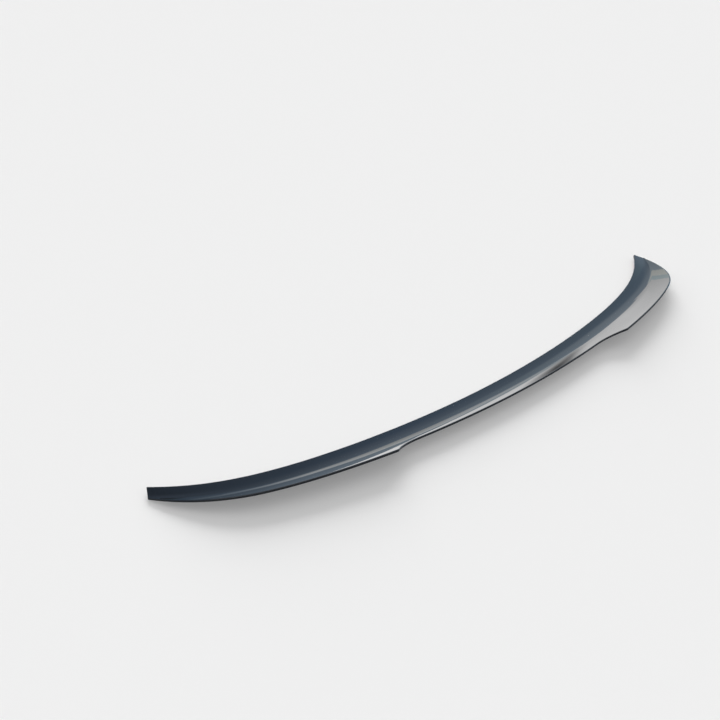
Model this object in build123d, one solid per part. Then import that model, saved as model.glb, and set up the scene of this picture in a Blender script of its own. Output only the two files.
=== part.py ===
from build123d import *

import os
from math import atan2, cos, radians, sin, tan

# A boot-lid lip spoiler, lying on its bonding face: X to the car's right, Y forward, Z up.
# The crease is the line on the underside where the bonding flange turns up into the lip.
# The origin is the middle of the tape strip, on the outer face of its backing film.

# Crease line in plan
half_span = 550.0  # middle of the car to the end of the crease
crease_bow = 80.0  # how far an even bow carries the tips forward
end_sweep = 42.5  # how much further the tips are swept forward
sweep_power = 8  # a higher power gathers the sweep nearer to the tips
end_turn = 6.0  # degrees that the end faces are turned from square, front corner outwards
turn_power = 16

# Section, which changes from the middle to the tips
wall = 3.0  # thickness of the flange and the lip
tilt_middle = -2.6  # flange tilt in degrees, front edge up
tilt_tip = 13.0
slope_middle = 28.0  # slope of the lip in degrees, trailing edge up
slope_tip = 20.5
front_margin_middle = 5.5  # flange left bare in front of the tape
front_margin_tip = 1.6
rear_margin_middle = 7.2  # flange left bare between the tape and the crease
rear_margin_tip = 4.2
early_share = 0.3  # share of each change that comes early; the rest gathers near the tips
crease_radius = 2.5  # round under the crease
front_land_middle = 2.0  # flat strip on top at the flange's front; behind it the top is one hollow
front_land_tip = 13.0
front_radius = 1.0  # round on the flange's upper front edge
edge_bevel = 0.7  # bevel along the upper trailing edge

# Trailing edge: a shallow middle, a step out to deeper sides, and a taper to each tip
lip_middle = 33.0  # lip depths, measured from the crease along the slope
lip_step = 54.5  # at the step's sharp corner
lip_taper = 48.5  # where the taper starts
lip_tip = 0.8  # what is left at the tip
step_start = 201.0  # distances from the middle along X
step_corner = 256.5
taper_length = 111.0
trim_allowance = 10.0  # lip that the trim takes off at the step's corner

# Double-sided tape and its backing film
tape_width = 13.0
tape_thickness = 1.0
film_thickness = 0.3
tape_inset = 12.5  # bare flange at each tip

# Derived sizes
taper_start = half_span - taper_length
lip_blank = max(lip_middle, lip_step, lip_taper) + trim_allowance
strip_depth = tape_thickness + film_thickness

# Shares of the half span: sections for the lofts, and points of the taper's curve
half_stations = (0.25, 0.5, 0.7, 0.84, 0.93, 1.0)
stations = [-s for s in reversed(half_stations)] + [0.0] + list(half_stations)
taper_shares = (0.35, 0.65, 0.87, 1.0)


def between(middle, tip, s):
    """A size at station s, where 0 is the middle and 1 or -1 is a tip."""
    share = early_share * s**2 + (1 - early_share) * s**6
    return middle + (tip - middle) * share


def tilt(s):
    return radians(between(tilt_middle, tilt_tip, s))


def slope(s):
    return radians(between(slope_middle, slope_tip, s))


def rear_margin(s):
    return between(rear_margin_middle, rear_margin_tip, s)


def front_margin(s):
    return between(front_margin_middle, front_margin_tip, s)


def front_land(s):
    return between(front_land_middle, front_land_tip, s)


def flange_axes(s):
    """Directions in the section: along the flange to its front, and up through its wall."""
    return Vector(cos(tilt(s)), sin(tilt(s))), Vector(-sin(tilt(s)), cos(tilt(s)))


def lip_axes(s):
    """Directions in the section: back along the lip, and up through its wall."""
    return Vector(-cos(slope(s)), sin(slope(s))), Vector(sin(slope(s)), cos(slope(s)))


def section_plane(s):
    """The plane of the section at s, square to the crease apart from the turn near the tips.

    Its x points forward over the flange and its y up.
    """
    reach = abs(s)
    side = 1 if s > 0 else -1
    forward = crease_bow * reach**2 + end_sweep * reach**sweep_power
    rise = 2 * crease_bow * reach + sweep_power * end_sweep * reach ** (sweep_power - 1)
    heading = side * (atan2(rise, half_span) - radians(end_turn) * reach**turn_power)
    along, up = flange_axes(0)
    strip_middle = along * (rear_margin(0) + tape_width / 2) - up * strip_depth
    point = (s * half_span, forward - strip_middle.X, -strip_middle.Y)
    return Plane(point, x_dir=(-sin(heading), cos(heading), 0), z_dir=(cos(heading), sin(heading), 0))


def body_section(s):
    """The bent wall: flat below with a small round under the crease, and a hollow on top."""
    along, up = flange_axes(s)
    back, out = lip_axes(s)
    half_bend = (tilt(s) + slope(s)) / 2
    flange_width = rear_margin(s) + tape_width + front_margin(s)
    crease_run = crease_radius * tan(half_bend)
    hollow_run = flange_width - front_land(s)
    hollow_radius = hollow_run / tan(half_bend)
    hollow = (up + out) * (wall / (1 + up.dot(out)))
    front = along * flange_width
    front_low = front + up * (wall - front_radius)
    front_high = front + up * wall - along * front_radius
    end = back * lip_blank
    with BuildSketch(section_plane(s)) as section:
        with BuildLine():
            Line(along * crease_run, front)
            Line(front, front_low)
            RadiusArc(front_low, front_high, -front_radius)
            Line(front_high, hollow + along * hollow_run)
            RadiusArc(hollow + along * hollow_run, hollow + back * hollow_run, hollow_radius)
            Line(hollow + back * hollow_run, end + out * wall)
            Line(end + out * wall, end)
            Line(end, back * crease_run)
            RadiusArc(back * crease_run, along * crease_run, -crease_radius)
        make_face()
    return section.sketch


def strip_section(s, top, bottom, spare):
    """A slice under the flange between two heights, wider than the tape by a spare width on each side."""
    along, up = flange_axes(s)
    rear = along * (rear_margin(s) - spare)
    front = along * (rear_margin(s) + tape_width + spare)
    with BuildSketch(section_plane(s)) as section:
        with BuildLine():
            Polyline(rear + up * bottom, front + up * bottom, front + up * top, rear + up * top, close=True)
        make_face()
    return section.sketch


def strip(top, bottom, spare=0.0):
    end = 1 - (tape_inset - spare) / half_span
    return loft([strip_section(s * end, top, bottom, spare) for s in stations])


def edge_point(x, depth):
    """The plan position of the trailing edge, a depth back along the lip from the crease at x."""
    s = x / half_span
    place = section_plane(s).from_local_coords((-depth * cos(slope(s)), 0, 0))
    return Vector(place.X, place.Y)


def side_depth(x):
    """Lip depth outboard of the step: an even fall to the taper, then a curve down to the tip."""
    fall = (lip_taper - lip_step) / (taper_start - step_corner)
    depth = lip_step + fall * (x - step_corner)
    left = min(1.0, (half_span - x) / taper_length)
    return lip_tip + (depth - lip_tip) * left * (2 - left)


def trim_block():
    """Everything in front of the trailing edge, as one upright block."""
    middle_points = [edge_point(x, lip_middle) for x in (-step_start, 0, step_start)]
    side_xs = [step_corner, (step_corner + taper_start) / 2, taper_start]
    side_xs += [taper_start + taper_length * share for share in taper_shares]
    side_points = [edge_point(x, side_depth(x)) for x in side_xs]
    far = 2 * (half_span + crease_bow + end_sweep)
    with BuildPart() as block:
        with BuildSketch(Plane.XY.offset(-far / 2)):
            with BuildLine():
                middle = ThreePointArc(middle_points, mode=Mode.PRIVATE)
                TangentArc(middle @ 1, side_points[0], tangent=middle % 1)
                side = Spline(side_points)
                Polyline(side @ 1, (far, (side @ 1).Y), (far, far), (0, far))
                mirror(about=Plane.YZ)
                add(middle)
            make_face()
        extrude(amount=far)
    return block.part


def upper_trimmed_edges(piece):
    """The long upper edge of each upright wall that the trim leaves."""
    walls = piece.faces().filter_by(GeomType.CYLINDER) + piece.faces().filter_by(GeomType.EXTRUSION)
    return [max(longest_edges(face), key=lambda edge: (edge @ 0.5).Z) for face in walls]


def longest_edges(face):
    return face.edges().sort_by(SortBy.LENGTH)[-2:]


def spoiler_body():
    blank = loft([body_section(s) for s in stations])
    trimmed = blank & trim_block()
    return trimmed.chamfer(edge_bevel, None, upper_trimmed_edges(trimmed))


# Tape and film are one strip, cut to the flange that it sticks to and then parted along its length.
body = spoiler_body()
taped_strip = strip(wall / 2, -strip_depth) - body
below_tape = strip(-tape_thickness, -2 * strip_depth, spare=tape_inset / 4)
tape = taped_strip - below_tape
film = taped_strip & below_tape

os.makedirs("parts", exist_ok=True)
export_step(body, "parts/spoiler_body.step")
export_step(tape, "parts/adhesive_tape.step")
export_step(film, "parts/release_film.step")
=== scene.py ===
import math
import bmesh
import bpy
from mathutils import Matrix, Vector


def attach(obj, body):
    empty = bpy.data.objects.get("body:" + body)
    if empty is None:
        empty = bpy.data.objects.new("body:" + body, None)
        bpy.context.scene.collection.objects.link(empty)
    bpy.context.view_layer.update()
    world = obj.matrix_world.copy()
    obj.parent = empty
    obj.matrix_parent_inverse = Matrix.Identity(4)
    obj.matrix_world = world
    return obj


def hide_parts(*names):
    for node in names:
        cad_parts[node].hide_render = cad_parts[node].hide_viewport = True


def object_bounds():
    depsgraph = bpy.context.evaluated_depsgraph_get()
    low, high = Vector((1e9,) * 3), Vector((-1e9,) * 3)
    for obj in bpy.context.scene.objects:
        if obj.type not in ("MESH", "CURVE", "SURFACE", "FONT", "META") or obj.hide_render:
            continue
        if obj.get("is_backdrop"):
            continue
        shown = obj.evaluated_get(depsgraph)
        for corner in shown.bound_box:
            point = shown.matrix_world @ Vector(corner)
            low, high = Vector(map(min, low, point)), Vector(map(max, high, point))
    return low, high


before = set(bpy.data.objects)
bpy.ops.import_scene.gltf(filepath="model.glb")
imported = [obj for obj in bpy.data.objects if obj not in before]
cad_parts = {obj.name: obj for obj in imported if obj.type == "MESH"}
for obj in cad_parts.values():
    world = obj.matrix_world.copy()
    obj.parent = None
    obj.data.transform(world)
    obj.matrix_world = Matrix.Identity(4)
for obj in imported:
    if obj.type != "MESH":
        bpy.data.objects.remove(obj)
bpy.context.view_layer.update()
mm = 0.001  # shapes below are written in millimetres
print("frame loaded:", ", ".join(sorted(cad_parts)))


# the wall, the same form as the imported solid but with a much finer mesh
spoiler = {
    "halfSpan": 550.0,
    "creaseBow": 80.0,  # how far an even bow carries the tips forward
    "endSweep": 42.5,  # how much further the tips are swept forward
    "sweepPower": 8,
    "endTurn": 6.0,  # degrees that the end faces are turned from square
    "turnPower": 16,
    "earlyShare": 0.3,  # share of each change that comes early
    "earlyPower": 2,
    "latePower": 6,
    "wall": 3.0,
    "tilt": (-2.6, 13.0),  # middle, tip
    "slope": (28.0, 20.5),
    "frontMargin": (5.5, 1.6),
    "rearMargin": (7.2, 4.2),
    "frontLand": (2.0, 16.0),
    "creaseRadius": 2.5,
    "lipStart": 1.2,  # degrees by which the lip's top starts too flat behind the hollow
    "lipRadius": 515.0,  # slight dish of the lip's top
    "frontRadius": 1.0,
    "edgeRadius": 0.8,
    "lipMiddle": 33.0,  # lip depths
    "lipStep": 54.5,
    "lipTaper": 48.5,
    "lipTip": 0.8,
    "stepStart": 201.0,
    "stepCorner": 256.5,
    "taperLength": 111.0,
    "creaseGap": 0.1,  # least underside left behind the crease's round
    "rimRun": 0.5,  # length over which the slope at the rim is taken
    "stations": 360,  # even steps along the span
    "clearShare": 0.4,  # share of a step by which even rings keep clear of the set ones
    "flangePoints": 8,  # points of a ring, underside first
    "creasePoints": 6,
    "lipPoints": 14,
    "roundPoints": 6,
    "topPoints": 40,
    "sharpAngle": 32,  # degrees between two faces from which their edge is sharp
}

# the tape and its film; the flange is as wide as this strip and its two margins
bondStrip = {
    "width": 13.0,
    "tape": 1.0,  # thicknesses
    "film": 0.3,
    "inset": 12.5,  # bare flange at each tip
    "facets": 6,  # across the width
}


def between(pair, s):
    late = 1 - spoiler["earlyShare"]
    share = spoiler["earlyShare"] * s ** spoiler["earlyPower"] + late * s ** spoiler["latePower"]
    return pair[0] + (pair[1] - pair[0]) * share


def angleAt(pairName, s):
    return math.radians(between(spoiler[pairName], s))


def flangeAxes(s):
    # along the flange to its front, and up through its wall
    tilt = angleAt("tilt", s)
    return Vector((math.cos(tilt), math.sin(tilt))), Vector((-math.sin(tilt), math.cos(tilt)))


def heading(s):
    reach = abs(s)
    rise = 2 * spoiler["creaseBow"] * reach
    rise += spoiler["sweepPower"] * spoiler["endSweep"] * reach ** (spoiler["sweepPower"] - 1)
    turn = math.radians(spoiler["endTurn"]) * reach ** spoiler["turnPower"]
    return math.copysign(math.atan2(rise, spoiler["halfSpan"]) - turn, s)


def creaseStart():
    # where the crease is in the middle of the car, measured from the middle of the film
    tilt = angleAt("tilt", 0)
    run = spoiler["rearMargin"][0] + bondStrip["width"] / 2
    drop = bondStrip["tape"] + bondStrip["film"]
    back = run * math.cos(tilt) + drop * math.sin(tilt)
    rise = drop * math.cos(tilt) - run * math.sin(tilt)
    return Vector((0, -back, rise))


def sectionPlace(s):
    reach = abs(s)
    forward = spoiler["creaseBow"] * reach**2 + spoiler["endSweep"] * reach ** spoiler["sweepPower"]
    place = creaseStart() + Vector((s * spoiler["halfSpan"], forward, 0))
    ahead = Vector((-math.sin(heading(s)), math.cos(heading(s)), 0))
    return place, ahead


def toWorld(s, x, z):
    place, ahead = sectionPlace(s)
    return (place + ahead * x + Vector((0, 0, z))) * mm


def planPoint(x, depth):
    s = x / spoiler["halfSpan"]
    place, ahead = sectionPlace(s)
    spot = place - ahead * depth * math.cos(angleAt("slope", s))
    return Vector((spot.x, spot.y))


def sideDepth(x):
    # lip depth outboard of the step: an even fall, then a curve down to the tip
    taperStart = spoiler["halfSpan"] - spoiler["taperLength"]
    fall = (spoiler["lipTaper"] - spoiler["lipStep"]) / (taperStart - spoiler["stepCorner"])
    depth = spoiler["lipStep"] + fall * (x - spoiler["stepCorner"])
    left = min(1.0, (spoiler["halfSpan"] - x) / spoiler["taperLength"])
    return spoiler["lipTip"] + (depth - spoiler["lipTip"]) * left * (2 - left)


def edgeArcs():
    # the shallow middle is one arc in plan, and the step is another that runs on from it
    first = planPoint(0, spoiler["lipMiddle"])
    last = planPoint(spoiler["stepStart"], spoiler["lipMiddle"])
    rise = last.y - first.y
    middleRadius = (last.x**2 + rise**2) / (2 * rise)
    middleCentre = Vector((0, first.y + middleRadius))
    inward = (middleCentre - last).normalized()
    corner = planPoint(spoiler["stepCorner"], spoiler["lipStep"])
    chord = corner - last
    stepRadius = chord.length_squared / (2 * inward.dot(chord))
    return (middleCentre, middleRadius), (last + inward * stepRadius, abs(stepRadius))


arcs = edgeArcs()


def edgeReach(s):
    # how far behind the crease the upright trailing wall stands, in plan
    x = abs(s) * spoiler["halfSpan"]
    slope = angleAt("slope", s)
    if x >= spoiler["stepCorner"]:
        return sideDepth(x) * math.cos(slope)
    centre, radius = arcs[0] if x <= spoiler["stepStart"] else arcs[1]
    place, ahead = sectionPlace(abs(s))
    start = Vector((place.x, place.y)) - centre
    back = -Vector((ahead.x, ahead.y))
    along = start.dot(back)
    gap = along**2 - start.length_squared + radius**2
    guess = spoiler["lipMiddle"] * math.cos(slope)
    roots = (-along + math.sqrt(gap), -along - math.sqrt(gap))
    return min(roots, key=lambda root: abs(root - guess))


def evenSteps(first, last, count):
    return [first + (last - first) * i / count for i in range(count)]


def arcPoints(centre, radius, first, last):
    steps = spoiler["roundPoints"] - 1
    turns = evenSteps(first, last, steps) + [last]
    return [(centre.x + radius * math.cos(turn), centre.y + radius * math.sin(turn)) for turn in turns]


def sectionRing(s):
    # one closed outline, forward and up in mm, with the same number of points at every station
    tilt, slope = angleAt("tilt", s), angleAt("slope", s)
    along, up = flangeAxes(s)
    out = Vector((math.sin(slope), math.cos(slope)))
    halfBend = (tilt + slope) / 2
    width = between(spoiler["rearMargin"], s) + bondStrip["width"] + between(spoiler["frontMargin"], s)
    corner = (up + out) * (spoiler["wall"] / (1 + up.dot(out)))
    xEnd = -edgeReach(s)
    # the hollow is one arc from the flange; the lip behind it is almost straight
    hollowRun = width - between(spoiler["frontLand"], s)
    hollowFront = corner + along * hollowRun
    hollowRadius, lipRadius = hollowRun / math.tan(halfBend), spoiler["lipRadius"]
    turnEnd = slope - math.radians(spoiler["lipStart"])
    hollowLength = hollowRadius * (math.sin(turnEnd) + math.sin(tilt))
    hollowRise = hollowRadius * (math.cos(tilt) - math.cos(turnEnd))
    creaseRun = spoiler["creaseRadius"] * math.tan(halfBend)
    creaseCentre = along * creaseRun + up * spoiler["creaseRadius"]

    def topHeight(x):
        behind = hollowFront.x - x
        if behind < 0:
            return hollowFront.y - behind * math.tan(tilt)
        if behind <= hollowLength:
            turn = math.asin(behind / hollowRadius - math.sin(tilt))
            return hollowFront.y + hollowRadius * (math.cos(tilt) - math.cos(turn))
        turn = math.asin(math.sin(turnEnd) + (behind - hollowLength) / lipRadius)
        return hollowFront.y + hollowRise + lipRadius * (math.cos(turnEnd) - math.cos(turn))

    def underHeight(x):
        if x > creaseRun * math.cos(tilt):
            return x * math.tan(tilt)
        if x < -creaseRun * math.cos(slope):
            return -x * math.tan(slope)
        return creaseCentre.y - math.sqrt(spoiler["creaseRadius"] ** 2 - (x - creaseCentre.x) ** 2)

    # underside, front to back
    front = along * width
    turnX = creaseRun * math.cos(tilt)
    backX = max(xEnd + spoiler["creaseGap"], -creaseRun * math.cos(slope))
    under = evenSteps(front.x, turnX, spoiler["flangePoints"])
    under += evenSteps(turnX, backX, spoiler["creasePoints"])
    under += evenSteps(backX, xEnd, spoiler["lipPoints"]) + [xEnd]
    ring = [(x, underHeight(x)) for x in under]
    # trailing wall and the round at its top
    rimRun, radius = spoiler["rimRun"], spoiler["edgeRadius"]
    rimSlope = math.atan2(topHeight(xEnd) - topHeight(xEnd + rimRun), rimRun)
    cut = radius / math.tan((math.pi / 2 - rimSlope) / 2)
    centre = Vector((xEnd + radius, topHeight(xEnd) - cut))
    ring.append((xEnd, (underHeight(xEnd) + centre.y) / 2))
    ring += arcPoints(centre, radius, math.pi, math.pi / 2 - rimSlope)
    # top, back to front
    frontRadius = spoiler["frontRadius"]
    frontHigh = front + up * spoiler["wall"] - along * frontRadius
    top = evenSteps(ring[-1][0], frontHigh.x, spoiler["topPoints"])[1:]
    ring += [(x, topHeight(x)) for x in top]
    # front edge: round above, square below
    ring += arcPoints(frontHigh - up * frontRadius, frontRadius, tilt + math.pi / 2, tilt)
    return ring


def stationList(limit):
    # even steps, with rings exactly at the ends of the step and of the taper
    count = spoiler["stations"]
    clear = spoiler["clearShare"] / count
    spots = {round(-1 + 2 * i / count, 6) for i in range(count + 1)}
    for x in (spoiler["stepStart"], spoiler["stepCorner"], spoiler["halfSpan"] - spoiler["taperLength"]):
        for side in (-1, 1):
            spot = side * x / spoiler["halfSpan"]
            spots = {s for s in spots if abs(s - spot) > clear} | {spot}
    return sorted(s * limit for s in spots)


def sweep(name, stations, ringAt, partOf):
    # rings joined by quads and closed by a face at each end; partOf gives the material of each strip
    bm = bmesh.new()
    rings = [[bm.verts.new(toWorld(s, x, z)) for x, z in ringAt(s)] for s in stations]
    count = len(rings[0])
    for near, far in zip(rings, rings[1:]):
        for i in range(count):
            j = (i + 1) % count
            face = bm.faces.new((near[i], far[i], far[j], near[j]))
            face.material_index = partOf(i)
            face.smooth = True
    caps = [bm.faces.new(rings[0]), bm.faces.new(list(reversed(rings[-1])))]
    for cap in caps:
        cap.smooth = False
        for edge in cap.edges:
            edge.smooth = False
    bmesh.ops.recalc_face_normals(bm, faces=bm.faces)
    mesh = bpy.data.meshes.new(name)
    bm.to_mesh(mesh)
    bm.free()
    piece = bpy.data.objects.new(name, mesh)
    bpy.context.scene.collection.objects.link(piece)
    return piece


def sharpen(piece):
    # smooth along the faces, sharp where two faces meet at more than the limit
    limit = math.radians(spoiler["sharpAngle"])
    bm = bmesh.new()
    bm.from_mesh(piece.data)
    for edge in bm.edges:
        if len(edge.link_faces) == 2 and edge.calc_face_angle() > limit:
            edge.smooth = False
    bm.to_mesh(piece.data)
    bm.free()


glossPart, satinPart = 0, 1
underStrips = spoiler["flangePoints"] + spoiler["creasePoints"] + spoiler["lipPoints"]


def wallPart(i):
    return satinPart if i < underStrips else glossPart


body = sweep("spoiler_wall", stationList(1.0), sectionRing, wallPart)
sharpen(body)
print("spoiler wall meshed:", len(body.data.polygons), "faces")


def stripRing(top, bottom):
    def ringAt(s):
        along, up = flangeAxes(s)
        rear = between(spoiler["rearMargin"], s)
        front = rear + bondStrip["width"]
        across = evenSteps(rear, front, bondStrip["facets"]) + [front]
        points = [along * rear + up * top]
        points += [along * spot + up * bottom for spot in across]
        points += [along * front + up * top]
        return [(p.x, p.y) for p in points]
    return ringAt


stripStations = stationList(1 - bondStrip["inset"] / spoiler["halfSpan"])
tapeDrop = bondStrip["tape"]
filmDrop = tapeDrop + bondStrip["film"]
tape = sweep("foam_strip", stripStations, stripRing(0, -tapeDrop), lambda i: 0)
film = sweep("peel_film", stripStations, stripRing(-tapeDrop, -filmDrop), lambda i: 0)
for strip in (tape, film):
    sharpen(strip)
print("tape and film meshed")


def newMaterial(name):
    material = bpy.data.materials.new(name)
    material.use_nodes = True
    nodes, links = material.node_tree.nodes, material.node_tree.links
    return material, nodes, links, nodes["Principled BSDF"]


def noiseShare(nodes, links, spot, scale, detail):
    noise = nodes.new("ShaderNodeTexNoise")
    noise.inputs["Scale"].default_value = scale
    noise.inputs["Detail"].default_value = detail
    links.new(spot.outputs["Object"], noise.inputs["Vector"])
    return noise.outputs["Fac"]


def blendColours(nodes, links, share, first, second):
    # each colour is a fixed one or comes from another node
    blend = nodes.new("ShaderNodeMix")
    blend.data_type = "RGBA"
    links.new(share, blend.inputs["Factor"])
    for socket, colour in (("A", first), ("B", second)):
        if isinstance(colour, tuple):
            blend.inputs[socket].default_value = colour
        else:
            links.new(colour, blend.inputs[socket])
    return blend.outputs["Result"]


def cloudTint(nodes, links, skin, cloud, finish):
    colour = blendColours(nodes, links, cloud, finish["colour"], finish["paler"])
    links.new(colour, skin.inputs["Base Color"])


def cloudRoughness(nodes, links, skin, cloud, finish):
    rough = nodes.new("ShaderNodeMapRange")
    rough.inputs["To Min"].default_value = finish["roughness"][0]
    rough.inputs["To Max"].default_value = finish["roughness"][1]
    links.new(cloud, rough.inputs["Value"])
    links.new(rough.outputs["Result"], skin.inputs["Roughness"])


def bumpNormal(nodes, links, height, strength, distance):
    bump = nodes.new("ShaderNodeBump")
    bump.inputs["Strength"].default_value = strength
    bump.inputs["Distance"].default_value = distance
    links.new(height, bump.inputs["Height"])
    return bump.outputs["Normal"]


lacquer = {
    "colour": (0.0145, 0.0165, 0.020, 1),
    "paler": (0.018, 0.0205, 0.025, 1),
    "cloudScale": 9,
    "cloudDetail": 4,
    "roughness": (0.015, 0.035),
    "ior": 1.5,
    "coat": 1.0,
    "coatRoughness": 0.012,
    "peelScale": 220.0,
    "peelDetail": 1,
    "peelStrength": 0.012,
    "peelDepth": 0.0002,
}


def glossBlack():
    material, nodes, links, skin = newMaterial("gloss_black_lacquer")
    spot = nodes.new("ShaderNodeTexCoord")
    cloud = noiseShare(nodes, links, spot, lacquer["cloudScale"], lacquer["cloudDetail"])
    cloudTint(nodes, links, skin, cloud, lacquer)
    cloudRoughness(nodes, links, skin, cloud, lacquer)
    # orange peel of the sprayed coat
    peel = noiseShare(nodes, links, spot, lacquer["peelScale"], lacquer["peelDetail"])
    normal = bumpNormal(nodes, links, peel, lacquer["peelStrength"], lacquer["peelDepth"])
    links.new(normal, skin.inputs["Normal"])
    links.new(normal, skin.inputs["Coat Normal"])
    skin.inputs["IOR"].default_value = lacquer["ior"]
    skin.inputs["Coat Weight"].default_value = lacquer["coat"]
    skin.inputs["Coat Roughness"].default_value = lacquer["coatRoughness"]
    return material


satin = {
    "colour": (0.017, 0.0195, 0.0235, 1),
    "paler": (0.024, 0.027, 0.031, 1),
    "cloudScale": 14,
    "cloudDetail": 5,
    "roughness": (0.36, 0.5),
    "ior": 1.5,
    "grainScale": 2600.0,
    "grainDetail": 2,
    "grainStrength": 0.12,
    "grainDepth": 0.0001,
}


def satinBlack():
    material, nodes, links, skin = newMaterial("satin_black_abs")
    spot = nodes.new("ShaderNodeTexCoord")
    cloud = noiseShare(nodes, links, spot, satin["cloudScale"], satin["cloudDetail"])
    cloudTint(nodes, links, skin, cloud, satin)
    cloudRoughness(nodes, links, skin, cloud, satin)
    # fine grain from the mould
    grain = noiseShare(nodes, links, spot, satin["grainScale"], satin["grainDetail"])
    normal = bumpNormal(nodes, links, grain, satin["grainStrength"], satin["grainDepth"])
    links.new(normal, skin.inputs["Normal"])
    skin.inputs["IOR"].default_value = satin["ior"]
    return material


foam = {
    "colour": (0.028, 0.028, 0.031, 1),
    "paler": (0.06, 0.06, 0.066, 1),
    "roughness": 0.9,
    "poreScale": 1500.0,
    "poreStrength": 0.6,
    "poreDepth": 0.0002,
}


def foamGrey():
    material, nodes, links, skin = newMaterial("foam_tape_grey")
    spot = nodes.new("ShaderNodeTexCoord")
    pores = nodes.new("ShaderNodeTexVoronoi")
    pores.inputs["Scale"].default_value = foam["poreScale"]
    links.new(spot.outputs["Object"], pores.inputs["Vector"])
    cloudTint(nodes, links, skin, pores.outputs["Distance"], foam)
    normal = bumpNormal(nodes, links, pores.outputs["Distance"], foam["poreStrength"], foam["poreDepth"])
    links.new(normal, skin.inputs["Normal"])
    skin.inputs["Roughness"].default_value = foam["roughness"]
    return material


redFilm = {
    "colour": (0.70, 0.095, 0.115, 1),
    "paler": (0.76, 0.125, 0.145, 1),
    "roughness": (0.32, 0.46),
    "waveScale": 60.0,
    "waveDetail": 3,
    "waveStrength": 0.12,
    "waveDepth": 0.0004,
}


def filmRed():
    material, nodes, links, skin = newMaterial("red_peel_film")
    spot = nodes.new("ShaderNodeTexCoord")
    wave = noiseShare(nodes, links, spot, redFilm["waveScale"], redFilm["waveDetail"])
    cloudTint(nodes, links, skin, wave, redFilm)
    cloudRoughness(nodes, links, skin, wave, redFilm)
    normal = bumpNormal(nodes, links, wave, redFilm["waveStrength"], redFilm["waveDepth"])
    links.new(normal, skin.inputs["Normal"])
    return material


for material in (glossBlack(), satinBlack()):  # in the order of glossPart and satinPart
    body.data.materials.append(material)
body.visible_glossy = False  # the flange would hide the boards from the lip near the tips
tape.data.materials.append(foamGrey())
film.data.materials.append(filmRed())
for piece, node, slotName in (
    (body, "spoiler_body", "gloss_black"),
    (tape, "adhesive_tape", "foam_tape"),
    (film, "release_film", "red_film"),
):
    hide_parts(node)
    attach(piece, "root")
print("finishes done")


studio = {
    "floorSize": 30.0,
    "floorColour": (0.85, 0.85, 0.85, 1),
    "floorRoughness": 0.9,
    "background": 0.871,
    "shadowLift": 0.25,  # share of the floor's own brightness that a shadow can't take away
    "keyAzimuth": 45.0,  # from straight ahead of the car towards its right
    "keyElevation": 20.0,
    "keySpread": 40.0,
    "keyStrength": 4.33,
    "fill": 0.55,
    "fillColour": (1, 1, 1, 1),
    # what the gloss mirrors, by degrees above the horizon: a dim room under one broad soft light
    "room": (
        (-90, (0.11, 0.115, 0.12, 1)),
        (-12, (0.12, 0.125, 0.135, 1)),
        (0, (0.15, 0.20, 0.26, 1)),
        (25, (0.13, 0.18, 0.24, 1)),
        (40, (0.12, 0.16, 0.21, 1)),
        (52, (0.45, 0.47, 0.49, 1)),
        (62, (0.95, 0.95, 0.95, 1)),
        (90, (0.95, 0.95, 0.95, 1)),
    ),
}


def makeFloor():
    half = studio["floorSize"] / 2
    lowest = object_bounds()[0][2]
    corners = [(x * half, y * half, lowest) for x, y in ((-1, -1), (1, -1), (1, 1), (-1, 1))]
    mesh = bpy.data.meshes.new("floor")
    mesh.from_pydata(corners, [], [(0, 1, 2, 3)])
    floor = bpy.data.objects.new("floor", mesh)
    bpy.context.scene.collection.objects.link(floor)
    material, nodes, links, skin = newMaterial("pale_floor")
    skin.inputs["Base Color"].default_value = studio["floorColour"]
    skin.inputs["Roughness"].default_value = studio["floorRoughness"]
    skin.inputs["Specular IOR Level"].default_value = 0
    glow = nodes.new("ShaderNodeEmission")
    glow.inputs["Strength"].default_value = studio["background"]
    path = nodes.new("ShaderNodeLightPath")
    lift = nodes.new("ShaderNodeMapRange")
    lift.inputs["To Max"].default_value = studio["shadowLift"]
    links.new(path.outputs["Is Camera Ray"], lift.inputs["Value"])
    lifted = nodes.new("ShaderNodeMixShader")
    links.new(lift.outputs["Result"], lifted.inputs["Fac"])
    links.new(skin.outputs["BSDF"], lifted.inputs[1])
    links.new(glow.outputs["Emission"], lifted.inputs[2])
    links.new(lifted.outputs["Shader"], nodes["Material Output"].inputs["Surface"])
    mesh.materials.append(material)
    floor.visible_glossy = False
    floor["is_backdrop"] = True


def makeKey():
    lamp = bpy.data.lights.new("key", "SUN")
    lamp.energy = studio["keyStrength"]
    lamp.angle = math.radians(studio["keySpread"])
    key = bpy.data.objects.new("key", lamp)
    azimuth, elevation = math.radians(studio["keyAzimuth"]), math.radians(studio["keyElevation"])
    level = math.cos(elevation)
    towards = Vector((math.sin(azimuth) * level, math.cos(azimuth) * level, math.sin(elevation)))
    key.rotation_euler = towards.to_track_quat("Z", "Y").to_euler()
    key.visible_glossy = False
    bpy.context.scene.collection.objects.link(key)


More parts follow.
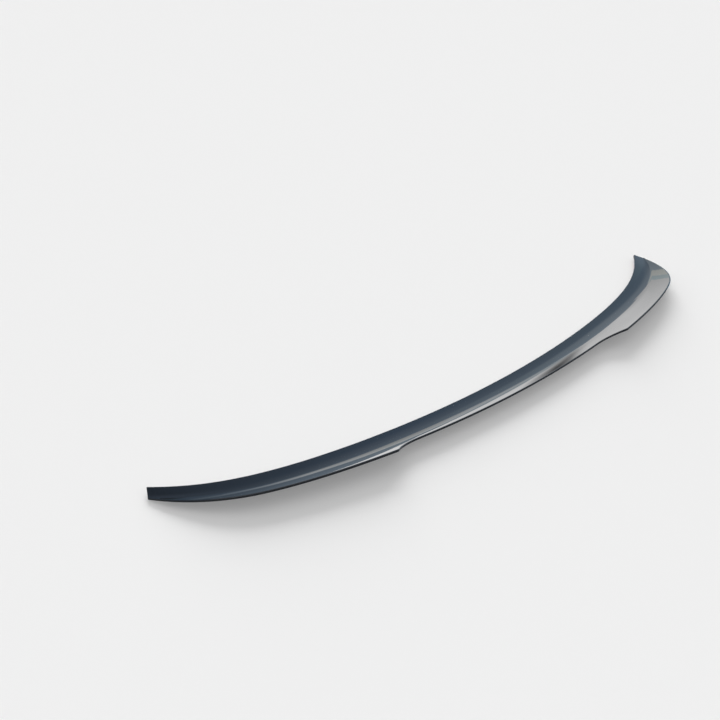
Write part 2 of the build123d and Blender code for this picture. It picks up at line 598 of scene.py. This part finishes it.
# lit boards beyond the front corners of the car, for the gloss to mirror
boards = {
    "middle": (0.42, 0.05, 0.01),  # the point of the wall that they stand around
    "azimuth": 46.0,
    "distance": 0.9,
    "tipDistance": 0.28,
    # outlines on the board, across and up in metres
    "white": (
        (-0.60, -0.46), (-0.53, -0.405), (-0.477, -0.368), (-0.443, -0.331), (-0.408, -0.284),
        (-0.377, -0.235), (-0.336, -0.205), (-0.299, -0.170), (-0.264, -0.120), (-0.228, -0.066),
        (-0.19, -0.02), (-0.12, 0.055), (-0.061, 0.118), (-0.019, 0.131), (0.003, 0.144),
        (0.024, 0.156), (0.045, 0.173), (0.056, 0.189), (0.062, 0.200), (0.066, 0.220),
        (0.075, 0.224), (0.09, 0.15), (0.13, -0.02), (0.10, -0.12), (-0.10, -0.26),
        (-0.40, -0.52), (-0.60, -0.60),
    ),
    "strip": (
        (-0.785, -0.30), (-0.753, -0.30), (-0.727, -0.298), (-0.714, -0.275), (-0.70, -0.245),
        (-0.678, -0.215), (-0.65, -0.115), (-0.62, -0.085), (-0.585, -0.068), (-0.51, -0.037),
        (-0.43, 0.03), (-0.348, 0.075), (-0.265, 0.10), (-0.183, 0.115), (-0.10, 0.129),
        (-0.06, 0.127), (-0.045, 0.09), (-0.11, 0.012), (-0.189, 0.028), (-0.269, -0.036),
        (-0.34, -0.173), (-0.415, -0.237), (-0.492, -0.272), (-0.567, -0.288), (-0.635, -0.312),
        (-0.686, -0.322), (-0.727, -0.342), (-0.753, -0.340), (-0.785, -0.335),
    ),
    "under": (
        (-0.80, -0.32), (-0.70, -0.29), (-0.65, -0.25), (-0.57, -0.20), (-0.42, -0.10), (-0.27, 0.02),
        (-0.19, 0.06), (-0.10, 0.06), (-0.10, -0.2), (-0.26, -0.45), (-0.80, -0.6),
    ),
    "slate": ((-1.8, -0.5), (-1.8, 3.4), (0.9, 3.4), (0.9, -0.5)),
    # four small cards nearer by, which only the tips mirror
    "tipWhite": (
        (0.028, 0.050), (0.033, 0.040), (0.066, 0.036), (0.066, 0.0564), (0.041, 0.0564), (0.0385, 0.058),
        (0.040, 0.0618), (0.0405, 0.0644), (0.0375, 0.0643), (0.0325, 0.0642), (0.0285, 0.0636),
    ),
    "tipBlue": (
        (0.0385, 0.058), (0.041, 0.0564), (0.066, 0.0564),
        (0.066, 0.0610), (0.0425, 0.0608), (0.040, 0.0618),
    ),
    "tipBeige": (
        (0.040, 0.0618), (0.0425, 0.0608), (0.066, 0.0610), (0.066, 0.0668),
        (0.056, 0.0664), (0.047, 0.0656), (0.0425, 0.0656), (0.0415, 0.0650),
    ),
    "tipGrey": (
        (0.0415, 0.0650), (0.0425, 0.0656), (0.047, 0.0656), (0.056, 0.0664),
        (0.060, 0.0680), (0.053, 0.0692), (0.0435, 0.0692),
    ),
}
tipGlow = {
    "tipWhite": (0.96, 0.96, 0.96, 1),
    "tipBlue": (0.68, 0.80, 0.83, 1),
    "tipBeige": (0.92, 0.95, 0.91, 1),
    "tipGrey": (0.485, 0.58, 0.655, 1),
}


def makeBoard(name, distance, paint):
    # one at each front corner, which only the gloss sees
    outline = boards[name]
    mesh = bpy.data.meshes.new(name + "_board")
    mesh.from_pydata([(x, 0, z) for x, z in outline], [], [tuple(range(len(outline)))])
    material, nodes, links, skin = newMaterial(name + "_board")
    nodes.remove(skin)
    light = nodes.new("ShaderNodeEmission")
    links.new(light.outputs["Emission"], nodes["Material Output"].inputs["Surface"])
    if callable(paint):
        links.new(paint(nodes, links), light.inputs["Color"])
    else:
        light.inputs["Color"].default_value = paint
    mesh.materials.append(material)
    azimuth = math.radians(boards["azimuth"])
    x, y, z = boards["middle"]
    for corner, side in (("right", 1), ("left", -1)):
        board = bpy.data.objects.new(name + "_board_" + corner, mesh)
        board.location = (side * (x + distance * math.sin(azimuth)), y + distance * math.cos(azimuth), z)
        board.rotation_euler = (0, 0, -side * azimuth)
        board.scale.x = side
        bpy.context.scene.collection.objects.link(board)
        board.visible_camera = False
        board.visible_diffuse = False
        board.visible_shadow = False
        board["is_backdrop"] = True


def boardSpot(nodes, links):
    spot = nodes.new("ShaderNodeTexCoord")
    split = nodes.new("ShaderNodeSeparateXYZ")
    links.new(spot.outputs["Object"], split.inputs["Vector"])
    return spot.outputs["Object"], split.outputs["X"], split.outputs["Z"]


def colourRamp(nodes, links, share, stops):
    ramp = nodes.new("ShaderNodeValToRGB")
    links.new(share, ramp.inputs["Fac"])
    marks = ramp.color_ramp.elements
    marks[0].position, marks[0].color = stops[0]
    marks[1].position, marks[1].color = stops[-1]
    for place, colour in stops[1:-1]:
        marks.new(place).color = colour
    return ramp.outputs["Color"]


def acrossRamp(nodes, links, across, glow):
    first, last = glow[0][0], glow[-1][0]
    share = nodes.new("ShaderNodeMapRange")
    share.inputs["From Min"].default_value = first
    share.inputs["From Max"].default_value = last
    links.new(across, share.inputs["Value"])
    stops = [((place - first) / (last - first), colour) for place, colour in glow]
    return colourRamp(nodes, links, share.outputs["Result"], stops)


def heightShare(nodes, links, up, heights):
    turn = nodes.new("ShaderNodeMapRange")
    turn.interpolation_type = "SMOOTHSTEP"
    turn.inputs["From Min"].default_value = heights[0]
    turn.inputs["From Max"].default_value = heights[1]
    links.new(up, turn.inputs["Value"])
    return turn.outputs["Result"]


# tones below go by metres across the board, from left to right
whiteGlow = (0.93, 0.93, 0.93, 1)
whiteTop = (
    (-0.07, (0.93, 0.93, 0.93, 1)),
    (0.015, (1.13, 1.13, 1.13, 1)),
    (0.05, (0.96, 0.96, 0.96, 1)),
    (0.065, (0.93, 0.93, 0.93, 1)),
)
whiteTurn = (-0.02, 0.12)  # heights between which the white passes into its brighter top
# a darker patch in the white board, which the lip mirrors as a painted dark reflection
darkReflectionPatch = {
    "spot": (-0.122, -0.130),
    "reach": (0.0616, 0.359),
    "lean": 11.0,  # degrees
    "full": 0.87,  # share of the way in at which it is darkest
    "rightFade": (-0.050, -0.088),  # across, from none to all of it
    "dark": (0.10, 0.10, 0.10, 1),
}


def paintWhite(nodes, links):
    # one soft dark patch lies on the white board, which the lip mirrors as a painted dark reflection
    spot, across, up = boardSpot(nodes, links)
    place = nodes.new("ShaderNodeMapping")
    place.vector_type = "TEXTURE"
    place.inputs["Location"].default_value = (darkReflectionPatch["spot"][0], 0, darkReflectionPatch["spot"][1])
    place.inputs["Rotation"].default_value = (0, math.radians(darkReflectionPatch["lean"]), 0)
    place.inputs["Scale"].default_value = (darkReflectionPatch["reach"][0], 1, darkReflectionPatch["reach"][1])
    links.new(spot, place.inputs["Vector"])
    ball = nodes.new("ShaderNodeTexGradient")
    ball.gradient_type = "SPHERICAL"
    links.new(place.outputs["Vector"], ball.inputs["Vector"])
    soft = nodes.new("ShaderNodeMapRange")
    soft.inputs["From Max"].default_value = darkReflectionPatch["full"]
    links.new(ball.outputs["Fac"], soft.inputs["Value"])
    fade = nodes.new("ShaderNodeMapRange")  # it ends sooner on its right
    fade.inputs["From Min"].default_value = darkReflectionPatch["rightFade"][0]
    fade.inputs["From Max"].default_value = darkReflectionPatch["rightFade"][1]
    links.new(across, fade.inputs["Value"])
    links.new(soft.outputs["Result"], fade.inputs["To Max"])
    top = acrossRamp(nodes, links, across, whiteTop)
    tone = blendColours(nodes, links, heightShare(nodes, links, up, whiteTurn), whiteGlow, top)
    return blendColours(nodes, links, fade.outputs["Result"], tone, darkReflectionPatch["dark"])


stripGlow = (
    (-0.785, (0.05, 0.07, 0.09, 1)),
    (-0.70, (0.15, 0.185, 0.225, 1)),
    (-0.59, (0.41, 0.435, 0.45, 1)),
    (-0.43, (0.467, 0.485, 0.485, 1)),
    (-0.27, (0.60, 0.63, 0.655, 1)),
    (-0.11, (0.54, 0.60, 0.635, 1)),
    (-0.06, (0.72, 0.76, 0.79, 1)),
)


def paintStrip(nodes, links):
    return acrossRamp(nodes, links, boardSpot(nodes, links)[1], stripGlow)


underGlow = (
    (-0.80, (0.024, 0.038, 0.056, 1)),
    (-0.57, (0.13, 0.165, 0.205, 1)),
    (-0.34, (0.23, 0.28, 0.32, 1)),
    (-0.27, (0.37, 0.43, 0.47, 1)),
    (-0.10, (0.42, 0.50, 0.54, 1)),
)


def paintUnder(nodes, links):
    return acrossRamp(nodes, links, boardSpot(nodes, links)[1], underGlow)


slateLow = (
    (-0.80, (0.035, 0.055, 0.08, 1)),
    (-0.42, (0.165, 0.215, 0.275, 1)),
    (-0.15, (0.245, 0.315, 0.38, 1)),
    (0.04, (0.35, 0.42, 0.49, 1)),
    (0.38, (0.295, 0.40, 0.505, 1)),
)
slateMiddle = (
    (-0.80, (0.04, 0.06, 0.09, 1)),
    (-0.375, (0.15, 0.204, 0.28, 1)),
    (0.0, (0.17, 0.238, 0.315, 1)),
    (0.32, (0.205, 0.298, 0.40, 1)),
    (0.38, (0.24, 0.35, 0.44, 1)),
)
slateHigh = (
    (-0.80, (0.077, 0.11, 0.16, 1)),
    (-0.70, (0.052, 0.086, 0.132, 1)),
    (-0.30, (0.102, 0.17, 0.264, 1)),
    (0.10, (0.187, 0.264, 0.349, 1)),
    (0.30, (0.187, 0.28, 0.39, 1)),
    (0.38, (0.29, 0.41, 0.51, 1)),
)
# heights between which low passes into middle, and middle into high
slateTurns = ((0.295, 0.375), (0.42, 0.65))
slateLean = 0.12  # by how much these heights rise per metre across


def paintSlate(nodes, links):
    across, up = boardSpot(nodes, links)[1:]
    lean = nodes.new("ShaderNodeMath")
    lean.operation = "MULTIPLY_ADD"
    links.new(across, lean.inputs[0])
    lean.inputs[1].default_value = -slateLean
    links.new(up, lean.inputs[2])
    tone = acrossRamp(nodes, links, across, slateLow)
    for heights, glow in zip(slateTurns, (slateMiddle, slateHigh)):
        share = heightShare(nodes, links, lean.outputs["Value"], heights)
        tone = blendColours(nodes, links, share, tone, acrossRamp(nodes, links, across, glow))
    return tone


def makeWorld():
    # the camera sees a pale backdrop, mirror rays see the room, and the rest is even fill
    world = bpy.data.worlds.new("studio")
    bpy.context.scene.world = world
    world.use_nodes = True
    nodes, links = world.node_tree.nodes, world.node_tree.links
    fill = nodes["Background"]
    fill.inputs["Color"].default_value = studio["fillColour"]
    fill.inputs["Strength"].default_value = studio["fill"]
    spot = nodes.new("ShaderNodeTexCoord")
    split = nodes.new("ShaderNodeSeparateXYZ")
    links.new(spot.outputs["Generated"], split.inputs["Vector"])
    rise = nodes.new("ShaderNodeMapRange")
    rise.inputs["From Min"].default_value = -1
    links.new(split.outputs["Z"], rise.inputs["Value"])
    stops = [((1 + math.sin(math.radians(degrees))) / 2, colour) for degrees, colour in studio["room"]]
    walls = nodes.new("ShaderNodeBackground")
    links.new(colourRamp(nodes, links, rise.outputs["Result"], stops), walls.inputs["Color"])
    seen = nodes.new("ShaderNodeBackground")
    seen.inputs["Color"].default_value = studio["fillColour"]
    seen.inputs["Strength"].default_value = studio["background"]
    path = nodes.new("ShaderNodeLightPath")
    mirrored = nodes.new("ShaderNodeMixShader")
    links.new(path.outputs["Is Glossy Ray"], mirrored.inputs["Fac"])
    links.new(fill.outputs["Background"], mirrored.inputs[1])
    links.new(walls.outputs["Background"], mirrored.inputs[2])
    backdrop = nodes.new("ShaderNodeMixShader")
    links.new(path.outputs["Is Camera Ray"], backdrop.inputs["Fac"])
    links.new(mirrored.outputs["Shader"], backdrop.inputs[1])
    links.new(seen.outputs["Background"], backdrop.inputs[2])
    links.new(backdrop.outputs["Shader"], nodes["World Output"].inputs["Surface"])


# each board stands some way behind the white one, in metres
for name, behind, paint in (
    ("white", 0.0, paintWhite),
    ("strip", 0.01, paintStrip),
    ("under", 0.02, paintUnder),
    ("slate", 0.05, paintSlate),
):
    makeBoard(name, boards["distance"] + behind, paint)
for name, glow in tipGlow.items():
    makeBoard(name, boards["tipDistance"], glow)
makeFloor()
makeKey()
makeWorld()
print("studio set")


shot = {
    "place": (-1.68117, -1.1209, 1.11649),
    "turn": (61.47, -4.91, -48.181),  # degrees
    "lens": 81.9,
    "sensor": 36,
}


def makeCamera():
    lens = bpy.data.cameras.new("camera")
    lens.sensor_width = shot["sensor"]
    lens.lens = shot["lens"]
    camera = bpy.data.objects.new("camera", lens)
    camera.location = shot["place"]
    camera.rotation_euler = [math.radians(angle) for angle in shot["turn"]]
    bpy.context.scene.collection.objects.link(camera)
    bpy.context.scene.camera = camera


makeCamera()
bpy.context.scene.view_settings.view_transform = "Standard"
print("camera set")
